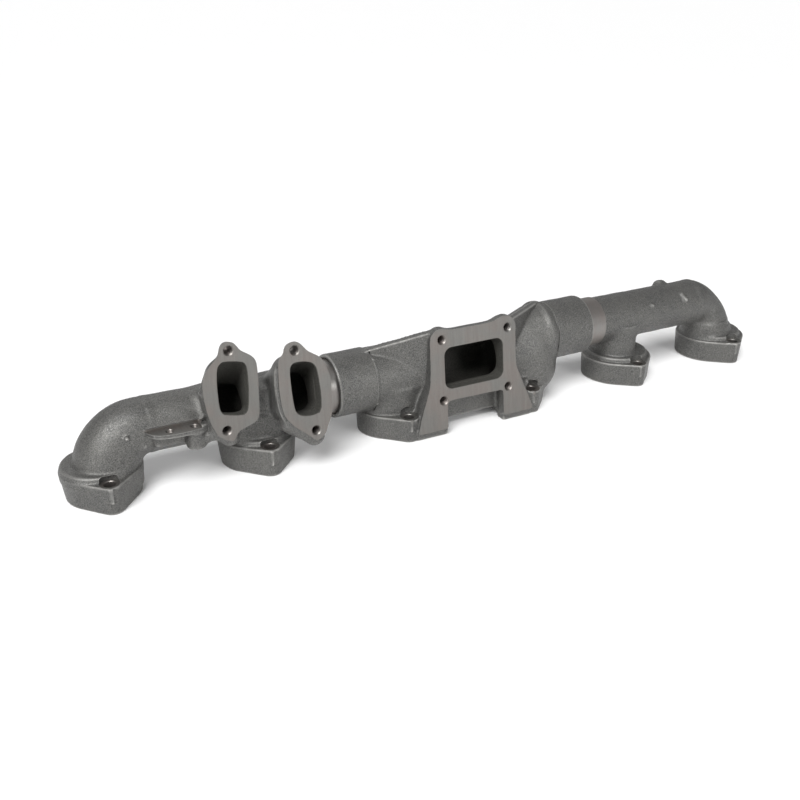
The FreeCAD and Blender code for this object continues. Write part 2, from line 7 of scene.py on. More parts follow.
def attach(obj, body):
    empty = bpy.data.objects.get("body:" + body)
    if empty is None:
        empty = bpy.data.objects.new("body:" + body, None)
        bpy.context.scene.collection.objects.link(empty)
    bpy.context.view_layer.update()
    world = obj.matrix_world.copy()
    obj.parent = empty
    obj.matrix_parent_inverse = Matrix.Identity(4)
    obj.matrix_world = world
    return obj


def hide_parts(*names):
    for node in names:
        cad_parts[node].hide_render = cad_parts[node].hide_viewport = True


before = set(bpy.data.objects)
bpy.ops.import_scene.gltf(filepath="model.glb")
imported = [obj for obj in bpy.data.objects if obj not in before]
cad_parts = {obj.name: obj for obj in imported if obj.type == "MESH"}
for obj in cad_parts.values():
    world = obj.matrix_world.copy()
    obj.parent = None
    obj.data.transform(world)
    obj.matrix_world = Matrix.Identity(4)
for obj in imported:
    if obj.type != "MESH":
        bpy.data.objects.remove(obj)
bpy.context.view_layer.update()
MM = 0.001
H = 1.3          # skin sampling step, mm
HI = 2.2         # duct sampling step, mm
SEG = 96

# ------------------------------------------------------------------ sizes, mm
PX = [-400.0, -240.0, -80.0, 80.0, 240.0, 400.0]
ZF, ZR = 63.0, 77.0                # duct axis heights, front and rear halves
PIPE_R, WALL = 28.0, 5.5
NECK_R, IN_R = 31.0, 7.0
FOOT = {1: 33.5, -1: 29.0}         # elbow foot radius, front and rear
FL_R, FL_E = 40.0, 40.0
# per port: centre shift, radius at the foot and top of the draft, height, corner
FLANGE = {-400.0: (0.6, 36.6, 39.8, 29.3, 52.8), -240.0: (0.0, 38.5, 41.4, 30.2, 52.8), -80.0: (0.0, 38.8, 41.1, 27.2, 52.4),
          80.0: (0.0, 38.8, 41.1, 27.8, 52.0), 240.0: (-1.0, 41.0, 43.0, 27.9, 52.0), 400.0: (-2.2, 41.3, 43.1, 27.9, 52.0)}
TILT = math.radians(6.5)
T_O = np.array([0.0, -46.0, 75.0])
T_U, T_V = np.array([1.0, 0, 0]), np.array([0.0, math.sin(TILT), math.cos(TILT)])
T_N = np.array([0.0, -math.cos(TILT), math.sin(TILT)])
E1_O = np.array([-278.0, -48.0, 104.0])
E1_V, E1_N = np.array([0.0, 0, 1.0]), np.array([0.0, -1.0, 0])
E2_O = np.array([-205.5, -57.0, 92.0])


# ------------------------------------------------------------------ distance fields
def smin(a, b, k):
    if k <= 0:
        return np.minimum(a, b)
    h = np.maximum(k - np.abs(a - b), 0.0)
    return np.minimum(a, b) - h * h * (0.25 / k)


def smax(a, b, k):
    return -smin(-a, -b, k)


class Field:
    def __init__(self, lo, hi, h):
        self.h, self.lo = h, np.array(lo, float)
        self.n = [int(math.ceil((hi[i] - lo[i]) / h)) + 1 for i in range(3)]
        self.ax = [(self.lo[i] + h * np.arange(self.n[i])).astype(np.float32) for i in range(3)]
        self.d = np.full(self.n, 60.0, np.float32)

    def part(self, box, pad):
        sl, c = [], []
        for i in range(3):
            a = int(math.floor((box[2 * i] - pad - self.lo[i]) / self.h))
            b = int(math.ceil((box[2 * i + 1] + pad - self.lo[i]) / self.h)) + 1
            a, b = max(0, a), max(0, min(self.n[i], b))
            sl.append(slice(a, b))
            shp = [1, 1, 1]
            shp[i] = b - a
            c.append(self.ax[i][a:b].reshape(shp))
        return tuple(sl), c

    def add(self, f, box, k=0.0):
        sl, (x, y, z) = self.part(box, k + 4 * self.h)
        self.d[sl] = smin(self.d[sl], f(x, y, z).astype(np.float32), k)

    def sub(self, f, box, k=0.0):
        sl, (x, y, z) = self.part(box, k + 4 * self.h)
        self.d[sl] = smax(self.d[sl], -f(x, y, z).astype(np.float32), k)

    def mesh(self):
        w = 3 * self.h
        g = vdb.FloatGrid()
        g.background = w
        g.copyFromArray(np.clip(self.d, -w, w).astype(np.float64), tolerance=0.0)
        p, q = g.convertToQuads(isovalue=0.0)
        return p.astype(np.float64) * self.h + self.lo, q.astype(np.int64)


def f_cyl(axis, c, r, lo, hi, rnd=0.0):
    """Capped cylinder along axis 0, 1 or 2; c holds the two other coordinates."""
    def f(x, y, z):
        p = [x, y, z]
        o = [i for i in range(3) if i != axis]
        q = np.sqrt((p[o[0]] - c[0]) ** 2 + (p[o[1]] - c[1]) ** 2) - r + rnd
        w = np.abs(p[axis] - (lo + hi) / 2) - (hi - lo) / 2 + rnd
        return np.sqrt(np.maximum(q, 0) ** 2 + np.maximum(w, 0) ** 2) + np.minimum(np.maximum(q, w), 0) - rnd
    b = [0] * 6
    o = [i for i in range(3) if i != axis]
    b[2 * axis], b[2 * axis + 1] = lo, hi
    for j, i in enumerate(o):
        b[2 * i], b[2 * i + 1] = c[j] - r, c[j] + r
    return f, b


def f_capsule(a, b, ra, rb):
    a, b = np.array(a, float), np.array(b, float)
    ab = b - a
    L2 = float(ab @ ab)

    def f(x, y, z):
        t = np.clip(((x - a[0]) * ab[0] + (y - a[1]) * ab[1] + (z - a[2]) * ab[2]) / L2, 0, 1)
        return np.sqrt((x - a[0] - t * ab[0]) ** 2 + (y - a[1] - t * ab[1]) ** 2 + (z - a[2] - t * ab[2]) ** 2) - (ra + (rb - ra) * t)
    m = max(ra, rb)
    lo, hi = np.minimum(a, b) - m, np.maximum(a, b) + m
    return f, [lo[0], hi[0], lo[1], hi[1], lo[2], hi[2]]


def f_elbow(x0, sx, zc, off=0.0, slim=0.0):
    """Elbow from a port up into a duct; radius tapers from the foot to the duct."""
    bx, bz = x0 + sx * (FL_R + IN_R), zc - PIPE_R - IN_R

    def f(x, y, z):
        dx, dz = (bx - x) * sx, z - bz
        th = np.clip(np.arctan2(dz, dx), 0, math.pi / 2)
        r = FOOT[sx] + (PIPE_R - FOOT[sx]) * (th / (math.pi / 2)) - (3.6 if sx < 0 else 0.0) * np.sin(2 * th)
        R = IN_R + r
        cx, cz = R * np.cos(th), R * np.sin(th)
        return np.sqrt((dx - cx) ** 2 + (dz - cz) ** 2 + y ** 2) - r + off + slim * np.cos(th)
    xs = sorted((bx - sx * 80, bx))
    return f, [xs[0], xs[1], -36, 36, bz - 2, bz + 66]


def f_oval(x0, rx, ry, z0, z1):
    """Upright oval column."""
    def f(x, y, z):
        q = (np.sqrt(((x - x0) / rx) ** 2 + (y / ry) ** 2) - 1.0) * min(rx, ry)
        return np.maximum(q, np.abs(z - (z0 + z1) / 2) - (z1 - z0) / 2)
    return f, [x0 - rx, x0 + rx, -ry, ry, z0, z1]


def f_cone_z(x0, x1, r0, r1, z0, z1):
    def f(x, y, z):
        t = np.clip((z - z0) / (z1 - z0), 0, 1)
        q = np.sqrt((x - (x0 + (x1 - x0) * t)) ** 2 + y ** 2) - (r0 + (r1 - r0) * t)
        w = np.abs(z - (z0 + z1) / 2) - (z1 - z0) / 2
        return np.maximum(q, w)
    m = max(r0, r1)
    return f, [min(x0, x1) - m, max(x0, x1) + m, -m, m, z0, z1]


def f_flange(x0, rnd=0.9):
    """Two-bolt port flange with drafted sides and a mitred left front corner."""
    cx, R0, R1, h, yc = FLANGE[x0]
    x0 = x0 + cx

    def f(x, y, z):
        t = np.clip(z / h, 0, 1)
        R, er = R0 + (R1 - R0) * t, 10.4 + 1.2 * t
        b = (R - er) / FL_E
        a = np.sqrt(1 - b * b)
        px, py = np.abs(x - x0), np.abs(y)
        kk = -b * px + a * py
        d = np.where(kk < 0, np.sqrt(px ** 2 + py ** 2) - R,
                     np.where(kk > a * FL_E, np.sqrt(px ** 2 + (py - FL_E) ** 2) - er, a * px + b * py - R))
        # mitre on the left front end
        m = np.maximum(np.maximum(-a * (x - x0) - b * y - R, -y - yc), (x - x0) + 0.5 + 0.25 * (y + yc))
        m = np.maximum(np.maximum(m, y + FL_E), (13.0 - z) * 0.7)
        d = np.minimum(d, m) + rnd
        w = np.abs(z - h / 2) - h / 2 + rnd
        return np.sqrt(np.maximum(d, 0) ** 2 + np.maximum(w, 0) ** 2) + np.minimum(np.maximum(d, w), 0) - rnd
    return f, [x0 - R1, x0 + R1, -yc, 52, 0, h]


def f_cut(planes, box):
    """Convex block inside several planes, each (normal, point)."""
    ns = []
    for nn, pp in planes:
        nn = np.array(nn, float)
        nn /= np.linalg.norm(nn)
        ns.append((nn, float(nn @ np.array(pp, float))))

    def f(x, y, z):
        d = None
        for nn, c in ns:
            e = x * nn[0] + y * nn[1] + z * nn[2] - c
            d = e if d is None else np.maximum(d, e)
        return d
    return f, box


def rrect2(u, v, hw, hh, r):
    qx, qy = np.abs(u) - hw + r, np.abs(v) - hh + r
    return np.sqrt(np.maximum(qx, 0) ** 2 + np.maximum(qy, 0) ** 2) + np.minimum(np.maximum(qx, qy), 0) - r


def f_loft_y(y0, y1, a, b):
    """Rounded-rectangle duct from y0 to y1; a and b are (cx, cz, half width, half height, radius)."""
    def f(x, y, z):
        t = np.clip((y - y0) / (y1 - y0), 0, 1)
        s = t * t * (3 - 2 * t)
        m = [a[i] + (b[i] - a[i]) * (t if i in (0,) else 0.35 * t + 0.65 * s) for i in range(5)]
        q = rrect2(x - m[0], z - m[1], m[2], m[3], m[4]) * 0.86
        w = np.abs(y - (y0 + y1) / 2) - abs(y1 - y0) / 2
        return np.maximum(q, w)
    return f, [min(a[0] - a[2], b[0] - b[2]), max(a[0] + a[2], b[0] + b[2]), min(y0, y1), max(y0, y1),
               min(a[1] - a[3], b[1] - b[3]), max(a[1] + a[3], b[1] + b[3])]


def poly2(u, v, pts):
    """Signed distance to a closed polygon, negative inside."""
    d = None
    s = None
    n = len(pts)
    j = n - 1
    for i in range(n):
        ex, ey = pts[j][0] - pts[i][0], pts[j][1] - pts[i][1]
        wx, wy = u - pts[i][0], v - pts[i][1]
        t = np.clip((wx * ex + wy * ey) / (ex * ex + ey * ey), 0, 1)
        dd = (wx - ex * t) ** 2 + (wy - ey * t) ** 2
        d = dd if d is None else np.minimum(d, dd)
        c1, c2, c3 = v >= pts[i][1], v < pts[j][1], ex * wy > ey * wx
        flip = (c1 & c2 & c3) | (~c1 & ~c2 & ~c3)
        s = flip if s is None else s ^ flip
        j = i
    return np.where(s, -1.0, 1.0) * np.sqrt(d)


def smooth_poly(pts, it=2):
    p = np.array(pts, float)
    for _ in range(it):
        q = np.roll(p, -1, 0)
        p = np.stack([p * 0.75 + q * 0.25, p * 0.25 + q * 0.75], 1).reshape(-1, 2)
    return p


def f_plate(O, U, Vv, N, pts, w0, w1, rnd=1.0, grow=0.0):
    """Polygon plate: in-plane axes U, Vv, thickness from w0 to w1 along the normal N."""
    P = smooth_poly(pts)

    def f(x, y, z):
        dx, dy, dz = x - O[0], y - O[1], z - O[2]
        u = dx * U[0] + dy * U[1] + dz * U[2]
        v = dx * Vv[0] + dy * Vv[1] + dz * Vv[2]
        w = dx * N[0] + dy * N[1] + dz * N[2]
        u, v, w = np.broadcast_arrays(u, v, w)
        d = poly2(u, v, P) + rnd - grow * (w1 - w)
        e = np.abs(w - (w0 + w1) / 2) - (w1 - w0) / 2 + rnd
        return np.sqrt(np.maximum(d, 0) ** 2 + np.maximum(e, 0) ** 2) + np.minimum(np.maximum(d, e), 0) - rnd
    c = []
    for a in P:
        for w in (w0, w1):
            c.append(O + U * a[0] + Vv * a[1] + N * w)
    c = np.array(c)
    lo, hi = c.min(0), c.max(0)
    return f, [lo[0], hi[0], lo[1], hi[1], lo[2], hi[2]]


def f_box(x0, x1, y0, y1, z0, z1, rnd=0.0):
    def f(x, y, z):
        q = [np.abs(x - (x0 + x1) / 2) - (x1 - x0) / 2 + rnd, np.abs(y - (y0 + y1) / 2) - (y1 - y0) / 2 + rnd,
             np.abs(z - (z0 + z1) / 2) - (z1 - z0) / 2 + rnd]
        o = np.sqrt(np.maximum(q[0], 0) ** 2 + np.maximum(q[1], 0) ** 2 + np.maximum(q[2], 0) ** 2)
        return o + np.minimum(np.maximum(np.maximum(q[0], q[1]), q[2]), 0) - rnd
    return f, [x0, x1, y0, y1, z0, z1]


def wobble(F, amp=0.16):
    """Slow unevenness of a sand-cast skin."""
    x, y, z = [a.reshape([-1 if i == j else 1 for j in range(3)]) for i, a in enumerate(F.ax)]
    F.d += (amp * (np.sin(x * 0.11 + 1.3 * np.sin(y * 0.09)) * np.cos(z * 0.10 + 0.8 * np.sin(x * 0.07))
                   + 0.6 * np.sin(x * 0.23 + y * 0.31) * np.sin(z * 0.27 + 1.1 + y * 0.12))).astype(np.float32)


# ------------------------------------------------------------------ meshes
CAST, DUCT, MILL, TURN, HOLE = 0, 1, 2, 3, 4
MATS = []


def make(name, pts, faces, mat=0, flip_check=True):
    me = bpy.data.meshes.new(name)
    pts = np.asarray(pts, float) * MM
    if isinstance(faces, np.ndarray):
        nf, k = faces.shape
        me.vertices.add(len(pts))
        me.vertices.foreach_set("co", pts.astype(np.float32).ravel())
        me.loops.add(nf * k)
        me.loops.foreach_set("vertex_index", faces.astype(np.int32).ravel())
        me.polygons.add(nf)
        me.polygons.foreach_set("loop_start", (np.arange(nf) * k).astype(np.int32))
        me.update(calc_edges=True)
    else:
        me.from_pydata([tuple(p) for p in pts], [], [tuple(f) for f in faces])
    me.update()
    for m in MATS:
        me.materials.append(m)
    if len(me.polygons):
        if flip_check and volume(me) < 0:
            me.flip_normals()
        me.polygons.foreach_set("material_index", np.full(len(me.polygons), mat, np.int32))
    ob = bpy.data.objects.new(name, me)
    bpy.context.scene.collection.objects.link(ob)
    return ob


def volume(me):
    n = len(me.vertices)
    co = np.empty(n * 3, np.float32)
    me.vertices.foreach_get("co", co)
    co = co.reshape(-1, 3).astype(np.float64)
    me.calc_loop_triangles()
    t = np.empty(len(me.loop_triangles) * 3, np.int32)
    me.loop_triangles.foreach_get("vertices", t)
    t = t.reshape(-1, 3)
    a, b, c = co[t[:, 0]], co[t[:, 1]], co[t[:, 2]]
    return float(np.einsum("ij,ij->", a, np.cross(b, c)) / 6)


def frame_of(axis):
    a = Vector(axis).normalized()
    h = Vector((0, 0, 1)) if abs(a.z) < 0.9 else Vector((1, 0, 0))
    u = a.cross(h).normalized()
    return a, u, a.cross(u)


def lathe(name, prof, origin, axis, mat=TURN, seg=SEG, mats=None):
    """Closed profile of (distance along the axis, radius) turned about it."""
    a, u, v = frame_of(axis)
    o = Vector(origin)
    pts, faces, fm = [], [], []
    n = len(prof)
    rows = []
    for (s, r) in prof:
        if r < 1e-6:
            rows.append([len(pts)])
            pts.append(o + a * s)
        else:
            st = len(pts)
            rows.append(list(range(st, st + seg)))
            for i in range(seg):
                t = 2 * math.pi * i / seg
                pts.append(o + a * s + (u * math.cos(t) + v * math.sin(t)) * r)
    closed = prof[0][1] > 1e-6
    for k in range(n if closed else n - 1):
        A, B = rows[k], rows[(k + 1) % n]
        for i in range(seg):
            j = (i + 1) % seg
            if len(A) == 1 and len(B) == 1:
                continue
            if len(A) == 1:
                faces.append((A[0], B[j], B[i]))
            elif len(B) == 1:
                faces.append((A[i], A[j], B[0]))
            else:
                faces.append((A[i], A[j], B[j], B[i]))
            fm.append(mats[k] if mats else mat)
    ob = make(name, [tuple(p) for p in pts], faces, mat)
    ob.data.polygons.foreach_set("material_index", np.array(fm, np.int32))
    return ob


def prism(name, outline, O, U, Vv, N, w0, w1, mat=MILL, cham=0.0, cap_mat=None):
    """Prism over a convex or simple outline, for cutting; optional flare at w1 gives a broken edge."""
    P = np.asarray(outline, float)
    n = len(P)
    area = 0.5 * np.sum(P[:, 0] * np.roll(P[:, 1], -1) - np.roll(P[:, 0], -1) * P[:, 1])
    if area < 0:
        P = P[::-1]
    e = np.roll(P, -1, 0) - P
    nrm = np.stack([e[:, 1], -e[:, 0]], 1) / np.linalg.norm(e, axis=1)[:, None]
    vn = nrm + np.roll(nrm, 1, 0)
    vn /= np.linalg.norm(vn, axis=1)[:, None]
    lev = [(w0, 0.0), (w1, 0.0)] if cham <= 0 else [(w0, 0.0), (-cham, 0.0), (w1, cham + w1)]
    pts, faces = [], []
    for w, g in lev:
        for p, m in zip(P, vn):
            q = p + m * g
            pts.append(O + U * q[0] + Vv * q[1] + N * w)
    for k in range(len(lev) - 1):
        for i in range(n):
            j = (i + 1) % n
            faces.append((k * n + i, k * n + j, (k + 1) * n + j, (k + 1) * n + i))
    faces.append(tuple(range(n))[::-1])
    faces.append(tuple((len(lev) - 1) * n + i for i in range(n)))
    return make(name, pts, faces, mat)


def round_outline(hw, hh, r, cu=0.0, cv=0.0, n=10):
    out = []
    for (sx, sy, a0) in ((1, 1, 0), (-1, 1, 90), (-1, -1, 180), (1, -1, 270)):
        for i in range(n + 1):
            t = math.radians(a0 + 90.0 * i / n)
            out.append((cu + sx * (hw - r) + r * math.cos(t), cv + sy * (hh - r) + r * math.sin(t)))
    return out


def bored(name, pos, axis, r, depth, cham=1.0, thread=0.0, above=6.0, seg=48):
    """Cutter for a drilled hole: axis points out of the mouth, pos is on the mouth."""
    pr = [(above, 0.0), (above, r + cham + above), (0.02, r + cham)]
    pr.append((-cham, r))
    s = -cham
    if thread > 0:
        while s - thread > -depth + 2:
            pr.append((s - thread * 0.5, r + 0.32 * thread))
            s -= thread
            pr.append((s, r))
    pr += [(-depth, r), (-depth - r * 0.55, 0.0)]
    mats = [MILL, MILL, MILL] + [HOLE] * (len(pr) - 4)
    return lathe(name, pr, pos, axis, seg=seg, mats=[MILL] * 3 + [HOLE] * (len(pr) - 3))


def through(name, x, y, z0, z1, r, cham=0.8, seg=48):
    pr = [(z0, 0.0), (z0, r), (z1 - cham, r), (z1, r + cham), (z1 + 0.5, r + cham + 0.5), (z1 + 0.5, 0.0)]
    return lathe(name, pr, (x, y, 0), (0, 0, 1), seg=seg, mats=[HOLE] * 2 + [MILL] * 4)


def merge(name, obs):
    """Put several meshes in one, without welding."""
    bm = bmesh.new()
    for o in obs:
        bm.from_mesh(o.data)
    me = bpy.data.meshes.new(name)
    bm.to_mesh(me)
    bm.free()
    for m in MATS:
        me.materials.append(m)
    ob = bpy.data.objects.new(name, me)
    bpy.context.scene.collection.objects.link(ob)
    for o in obs:
        bpy.data.objects.remove(o)
    return ob


def boolean(ob, cutter, op="DIFFERENCE"):
    md = ob.modifiers.new("b", "BOOLEAN")
    md.operation, md.solver, md.object = op, "MANIFOLD", cutter
    md.material_mode = "INDEX"
    dg = bpy.context.evaluated_depsgraph_get()
    me = bpy.data.meshes.new_from_object(ob.evaluated_get(dg))
    old = ob.data
    n0 = len(old.polygons)
    ob.modifiers.clear()
    ob.data = me
    bpy.data.meshes.remove(old)
    print("BOOL", ob.name, cutter.name, op, n0, "->", len(me.polygons))
    bpy.data.objects.remove(cutter)
    return ob



# ------------------------------------------------------------------ materials
def nodes_of(mat):
    mat.use_nodes = True
    nt = mat.node_tree
    for n in list(nt.nodes):
        nt.nodes.remove(n)
    out = nt.nodes.new("ShaderNodeOutputMaterial")
    b = nt.nodes.new("ShaderNodeBsdfPrincipled")
    nt.links.new(b.outputs[0], out.inputs[0])
    return nt, b


def N(nt, kind, **kw):
    n = nt.nodes.new(kind)
    for k, v in kw.items():
        if k.startswith("i_"):
            key = k[2:]
            n.inputs[int(key) if key.isdigit() else key.replace("_", " ")].default_value = v
        else:
            setattr(n, k, v)
    return n


def ramp(nt, src, stops, interp="LINEAR"):
    r = nt.nodes.new("ShaderNodeValToRGB")
    r.color_ramp.interpolation = interp
    el = r.color_ramp.elements
    while len(el) < len(stops):
        el.new(0.5)
    for e, (p, c) in zip(el, stops):
        e.position = p
        e.color = (c, c, c, 1) if not isinstance(c, tuple) else (c[0], c[1], c[2], 1)
    nt.links.new(src, r.inputs[0])
    return r


def mixc(nt, fac, a, b, mode="MIX"):
    m = nt.nodes.new("ShaderNodeMix")
    m.data_type = "RGBA"
    m.blend_type = mode
    for i, v in ((0, fac), (6, a), (7, b)):
        if hasattr(v, "default_value") or hasattr(v, "is_linked"):
            nt.links.new(v, m.inputs[i])
        else:
            m.inputs[i].default_value = v if i == 0 else (v[0], v[1], v[2], 1)
    return m.outputs[2]


def cast_material(name, tint=(1, 1, 1)):
    m = bpy.data.materials.new(name)
    nt, b = nodes_of(m)
    tc = N(nt, "ShaderNodeTexCoord")
    mp = N(nt, "ShaderNodeMapping")
    mp.inputs["Scale"].default_value = (1000, 1000, 1000)      # object metres to millimetres
    nt.links.new(tc.outputs["Object"], mp.inputs[0])
    P = mp.outputs[0]
    big = N(nt, "ShaderNodeTexNoise", i_Scale=0.018, i_Detail=5.0, i_Roughness=0.6)
    mid = N(nt, "ShaderNodeTexNoise", i_Scale=0.16, i_Detail=4.0, i_Roughness=0.65)
    fin = N(nt, "ShaderNodeTexNoise", i_Scale=1.15, i_Detail=2.0, i_Roughness=0.6)
    pit = N(nt, "ShaderNodeTexVoronoi", i_Scale=0.75)
    for t in (big, mid, fin, pit):
        nt.links.new(P, t.inputs["Vector"])
    base = mixc(nt, ramp(nt, big.outputs[0], [(0.35, 0.0), (0.65, 1.0)]).outputs[0], tuple(0.062 * t for t in tint),
                tuple(0.088 * t * w for t, w in zip(tint, (1.0, 0.99, 0.95))))
    base = mixc(nt, ramp(nt, mid.outputs[0], [(0.38, 0.0), (0.66, 0.6)]).outputs[0], base, (0.104, 0.102, 0.095))
    base = mixc(nt, ramp(nt, fin.outputs[0], [(0.42, 0.0), (0.75, 0.7)]).outputs[0], base, (0.26, 0.257, 0.243))
    base = mixc(nt, ramp(nt, fin.outputs[0], [(0.26, 0.7), (0.42, 0.0)]).outputs[0], base, (0.027, 0.0262, 0.024))
    # edges and ridges (Pointiness) painted lighter: partly real edge wear, partly a painted highlight where the edges
    # catch the light
    geo = N(nt, "ShaderNodeNewGeometry")
    edge_wear_and_highlight = ramp(nt, geo.outputs["Pointiness"], [(0.512, 0.0), (0.56, 1.0)])
    base = mixc(nt, edge_wear_and_highlight.outputs[0], base, (0.33, 0.325, 0.31))
    nt.links.new(base, b.inputs["Base Color"])
    b.inputs["Metallic"].default_value = 0.55
    rr = ramp(nt, fin.outputs[0], [(0.3, 0.56), (0.75, 0.36)])
    nt.links.new(rr.outputs[0], b.inputs["Roughness"])
    b.inputs["Specular IOR Level"].default_value = 0.5
    b1 = N(nt, "ShaderNodeBump", i_Strength=0.85, i_Distance=0.00034)
    nt.links.new(fin.outputs[0], b1.inputs["Height"])
    b2 = N(nt, "ShaderNodeBump", i_Strength=0.5, i_Distance=0.0006)
    nt.links.new(mid.outputs[0], b2.inputs["Height"])
    nt.links.new(b1.outputs[0], b2.inputs["Normal"])
    b3 = N(nt, "ShaderNodeBump", i_Strength=0.35, i_Distance=0.0003)
    pr = ramp(nt, pit.outputs["Distance"], [(0.0, 0.0), (0.35, 1.0)])
    nt.links.new(pr.outputs[0], b3.inputs["Height"])
    nt.links.new(b2.outputs[0], b3.inputs["Normal"])
    nt.links.new(b3.outputs[0], b.inputs["Normal"])
    return m


def duct_material(name):
    m = bpy.data.materials.new(name)
    nt, b = nodes_of(m)
    tc = N(nt, "ShaderNodeTexCoord")
    mp = N(nt, "ShaderNodeMapping")
    mp.inputs["Scale"].default_value = (1000, 1000, 1000)
    nt.links.new(tc.outputs["Object"], mp.inputs[0])
    fin = N(nt, "ShaderNodeTexNoise", i_Scale=0.7, i_Detail=4.0, i_Roughness=0.7)
    nt.links.new(mp.outputs[0], fin.inputs["Vector"])
    base = mixc(nt, ramp(nt, fin.outputs[0], [(0.35, 0.0), (0.7, 1.0)]).outputs[0], (0.034, 0.033, 0.029), (0.082, 0.080, 0.070))
    nt.links.new(base, b.inputs["Base Color"])
    b.inputs["Metallic"].default_value = 0.2
    b.inputs["Roughness"].default_value = 0.72
    b1 = N(nt, "ShaderNodeBump", i_Strength=0.7, i_Distance=0.0005)
    nt.links.new(fin.outputs[0], b1.inputs["Height"])
    nt.links.new(b1.outputs[0], b.inputs["Normal"])
    return m


def milled_material(name, axis=0, turned=False, col=(0.168, 0.165, 0.156)):
    """Machined iron: fine tool lines, faint warm and cool patches, a satin sheen."""
    m = bpy.data.materials.new(name)
    nt, b = nodes_of(m)
    tc = N(nt, "ShaderNodeTexCoord")
    mp = N(nt, "ShaderNodeMapping")
    mp.inputs["Scale"].default_value = (1000, 1000, 1000)
    nt.links.new(tc.outputs["Object"], mp.inputs[0])
    P = mp.outputs[0]
    big = N(nt, "ShaderNodeTexNoise", i_Scale=0.035, i_Detail=3.0, i_Roughness=0.55)
    nt.links.new(P, big.inputs["Vector"])
    st = N(nt, "ShaderNodeMapping")
    st.inputs["Scale"].default_value = (2.2, 0.06, 0.06) if turned else (0.30, 0.04, 0.02)
    nt.links.new(P, st.inputs[0])
    lin = N(nt, "ShaderNodeTexNoise", i_Scale=1.0, i_Detail=3.0, i_Roughness=0.75)
    nt.links.new(st.outputs[0], lin.inputs["Vector"])
    fin = N(nt, "ShaderNodeTexNoise", i_Scale=0.9, i_Detail=3.0, i_Roughness=0.7)
    nt.links.new(P, fin.inputs["Vector"])
    base = mixc(nt, ramp(nt, big.outputs[0], [(0.38, 0.0), (0.62, 1.0)]).outputs[0], col,
                (col[0] * 1.10, col[1] * 1.00, col[2] * 0.98))
    base = mixc(nt, ramp(nt, lin.outputs[0], [(0.3, 0.0), (0.75, 0.5)]).outputs[0], base, tuple(c * 1.35 for c in col))
    base = mixc(nt, ramp(nt, fin.outputs[0], [(0.3, 0.35), (0.45, 0.0)]).outputs[0], base, tuple(c * 0.6 for c in col))
    nt.links.new(base, b.inputs["Base Color"])
    b.inputs["Metallic"].default_value = 0.85
    rr = ramp(nt, lin.outputs[0], [(0.25, 0.46), (0.8, 0.34)])
    nt.links.new(rr.outputs[0], b.inputs["Roughness"])
    b1 = N(nt, "ShaderNodeBump", i_Strength=0.35, i_Distance=0.00012)
    nt.links.new(lin.outputs[0], b1.inputs["Height"])
    b2 = N(nt, "ShaderNodeBump", i_Strength=0.15, i_Distance=0.0001)
    nt.links.new(fin.outputs[0], b2.inputs["Height"])
    nt.links.new(b1.outputs[0], b2.inputs["Normal"])
    nt.links.new(b2.outputs[0], b.inputs["Normal"])
    return m


M_CAST = cast_material("cast_skin")
M_DUCT = duct_material("duct_wall")
M_MILL = milled_material("milled_face")
M_TURN = milled_material("turned_band", turned=True, col=(0.215, 0.210, 0.201))
M_HOLE = milled_material("thread_wall", col=(0.17, 0.163, 0.155))
M_RING = milled_material("ring_steel", turned=True, col=(0.45, 0.44, 0.43))
MATS[:] = [M_CAST, M_DUCT, M_MILL, M_TURN, M_HOLE]


# ------------------------------------------------------------------ outlines, mm in each face's own plane
E1_OUT = [(-11.2, 36), (-10.5, 41), (-7.0, 47.0), (-2.4, 49.1), (2.2, 48.9), (6.6, 47), (9.8, 42.4), (12, 38.4), (17.4, 35), (23, 31),
          (27, 26), (28.4, 20), (28.8, 8), (28.8, -12), (28.0, -34), (25, -39.6), (19.4, -42.6), (11.6, -45), (6.0, -47.4),
          (2.6, -51.6), (-2.4, -54.0), (-7.6, -53.6), (-12.5, -51.2), (-20.6, -41.2), (-24.8, -28.7), (-27.4, -15.6), (-28.8, -4.9),
          (-29.2, 5.3), (-28.8, 12.4), (-25.0, 20.5), (-21.4, 25.6), (-16.4, 31)]
E2_OUT = [(-27.4, 29.1), (-25.4, 36.0), (-21.2, 39.8), (-19.6, 45.2), (-16.2, 49.4), (-11.4, 51.4), (-6.4, 51.2), (-1.4, 48.6), (2.4, 43.8),
          (6.2, 38.8), (12.7, 34.8), (18.2, 31.2), (22.6, 25.6), (26.4, 15.6), (28.6, 7), (28.9, -2), (28, -26.9), (25.6, -36.6),
          (21.8, -42.6), (20.0, -48.6), (17.0, -52.8), (12.2, -54.7), (7.0, -54.4), (2.6, -52.2), (-2.0, -48.0), (-6.4, -44.2),
          (-13.4, -38.6), (-20.8, -31.6), (-25.4, -23.9), (-27.6, -13.2), (-28.2, 1.2), (-28.2, 15.3)]
E1_MOUTH = [(-13.3, 6.1), (-12.0, 22.1), (-9.2, 26.6), (-5.2, 28.6), (12.1, 25.3), (15.8, 22.2), (17.2, 14.3), (17.0, -6.4), (15.7, -22.9),
            (13.8, -27.8), (10.1, -30.0), (-7.6, -26.0), (-10.8, -23.4), (-12.7, -16.7)]
E2_MOUTH = [(-14.4, 22.8), (-11.4, 27.7), (-5.6, 28.7), (5.7, 26.9), (10.7, 23.6), (13.4, 18.5), (14.5, 7.1), (15.8, -8.7), (14.6, -26.2),
            (7.2, -28.0), (0.7, -28.0), (-6.5, -26.3), (-11.5, -22.7), (-13.3, -14.0), (-14.3, 2.6)]
HOLES = [("e1_top", 0, 0.2, 38.8), ("e1_low", 0, -7.1, -43.0), ("e2_top", 1, -7.8, 41.0), ("e2_low", 1, 7.7, -45.0)]
